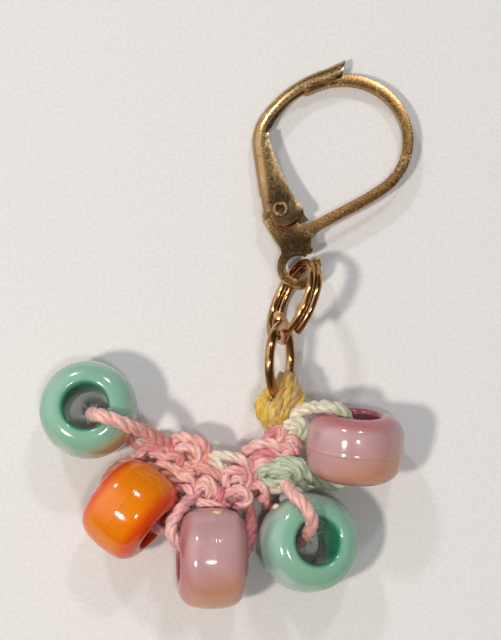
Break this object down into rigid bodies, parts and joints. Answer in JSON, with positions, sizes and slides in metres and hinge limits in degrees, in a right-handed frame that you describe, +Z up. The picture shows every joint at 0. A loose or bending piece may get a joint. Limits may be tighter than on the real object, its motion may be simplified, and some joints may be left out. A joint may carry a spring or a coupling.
{
  "type": "stitch marker",
  "caption": "Removable stitch marker: a lever-back hook, a double-coil ring and a jump ring carry a crocheted yarn band with barrel beads on loops.",
  "frame": {"origin": "centre of the whole object's outline, on the table it lies on", "axes": "+Y towards the hook, +Z up from the table, +X to the right as seen from above with the hook at the top"},
  "size_m": [0.0344, 0.0508, 0.0093],
  "materials": {
    "hook_brass": "worn antique gold plating",
    "lever_brass": "worn antique gold plating, rubbed bright on the edges",
    "rivet_brass": "rolled tubular rivet, dull plating",
    "ring_plate": "bright copper-gold plated wire",
    "mint_plastic": "pearly mint green, glossy",
    "orange_plastic": "translucent orange, glossy",
    "lilac_plastic": "pearly lilac with a peach sheen, glossy",
    "pink_cotton": "plied cotton yarn, pink fading to cream",
    "yellow_cotton": "plied cotton yarn, yellow",
    "mint_cotton": "plied cotton yarn, pale mint"
  },
  "bodies": {
    "hook": {"hook_frame": "hook_brass", "pivot_rivet": "rivet_brass"},
    "lever": {"lever": "lever_brass"},
    "split_ring": {"split_ring": "ring_plate"},
    "jump_ring": {"jump_ring": "ring_plate"},
    "band": {"yarn_knot": "yellow_cotton", "yarn_neck": "pink_cotton", "band_right": "pink_cotton", "band_middle": "pink_cotton", "band_left": "pink_cotton", "mint_stitches": "mint_cotton", "loop_mint_left": "pink_cotton", "loop_orange": "pink_cotton", "loop_lilac_low": "pink_cotton", "loop_mint_right": "pink_cotton", "loop_lilac_right": "pink_cotton"},
    "mint_left": {"bead_mint_left": "mint_plastic"},
    "orange": {"bead_orange": "orange_plastic"},
    "lilac_low": {"bead_lilac_low": "lilac_plastic"},
    "mint_right": {"bead_mint_right": "mint_plastic"},
    "lilac_right": {"bead_lilac_right": "lilac_plastic"}
  },
  "joints": [
    {"name": "lever_hinge", "type": "hinge", "parent": "hook", "child": "lever", "pos_m": [0.00469, 0.01098, 0.00195], "axis": [0, 0.0785, 0.9969], "range_deg": [0, 90]},
    {"name": "split_ring_swing", "type": "hinge", "parent": "hook", "child": "split_ring", "pos_m": [0.00588, 0.00223, 0.00398], "axis": [0.8716, -0.3346, -0.3584], "range_deg": [-45, 45]},
    {"name": "jump_ring_swing", "type": "hinge", "parent": "split_ring", "child": "jump_ring", "pos_m": [0.00459, -0.00319, 0.00423], "axis": [0.9487, -0.0663, 0.309], "range_deg": [-45, 45]},
    {"name": "band_swing", "type": "hinge", "parent": "jump_ring", "child": "band", "pos_m": [0.00459, -0.00319, 0.00423], "axis": [0.9487, -0.0663, 0.309], "range_deg": [-45, 45]},
    {"name": "mint_left_spin", "type": "hinge", "parent": "band", "child": "mint_left", "pos_m": [-0.01276, -0.00764, 0.0041], "axis": [-0.0174, 0.061, 0.998], "continuous": true},
    {"name": "orange_spin", "type": "hinge", "parent": "band", "child": "orange", "pos_m": [-0.00888, -0.01657, 0.00446], "axis": [0.7696, -0.6232, 0.1392], "continuous": true},
    {"name": "lilac_low_spin", "type": "hinge", "parent": "band", "child": "lilac_low", "pos_m": [-0.00158, -0.02092, 0.00456], "axis": [0.9925, 0, -0.1219], "continuous": true},
    {"name": "mint_right_spin", "type": "hinge", "parent": "band", "child": "mint_right", "pos_m": [0.00704, -0.01957, 0.00411], "axis": [0.2895, 0.0407, 0.9563], "continuous": true},
    {"name": "lilac_right_spin", "type": "hinge", "parent": "band", "child": "lilac_right", "pos_m": [0.01126, -0.01092, 0.00476], "axis": [0.0667, 0.954, 0.2924], "continuous": true}
  ]
}
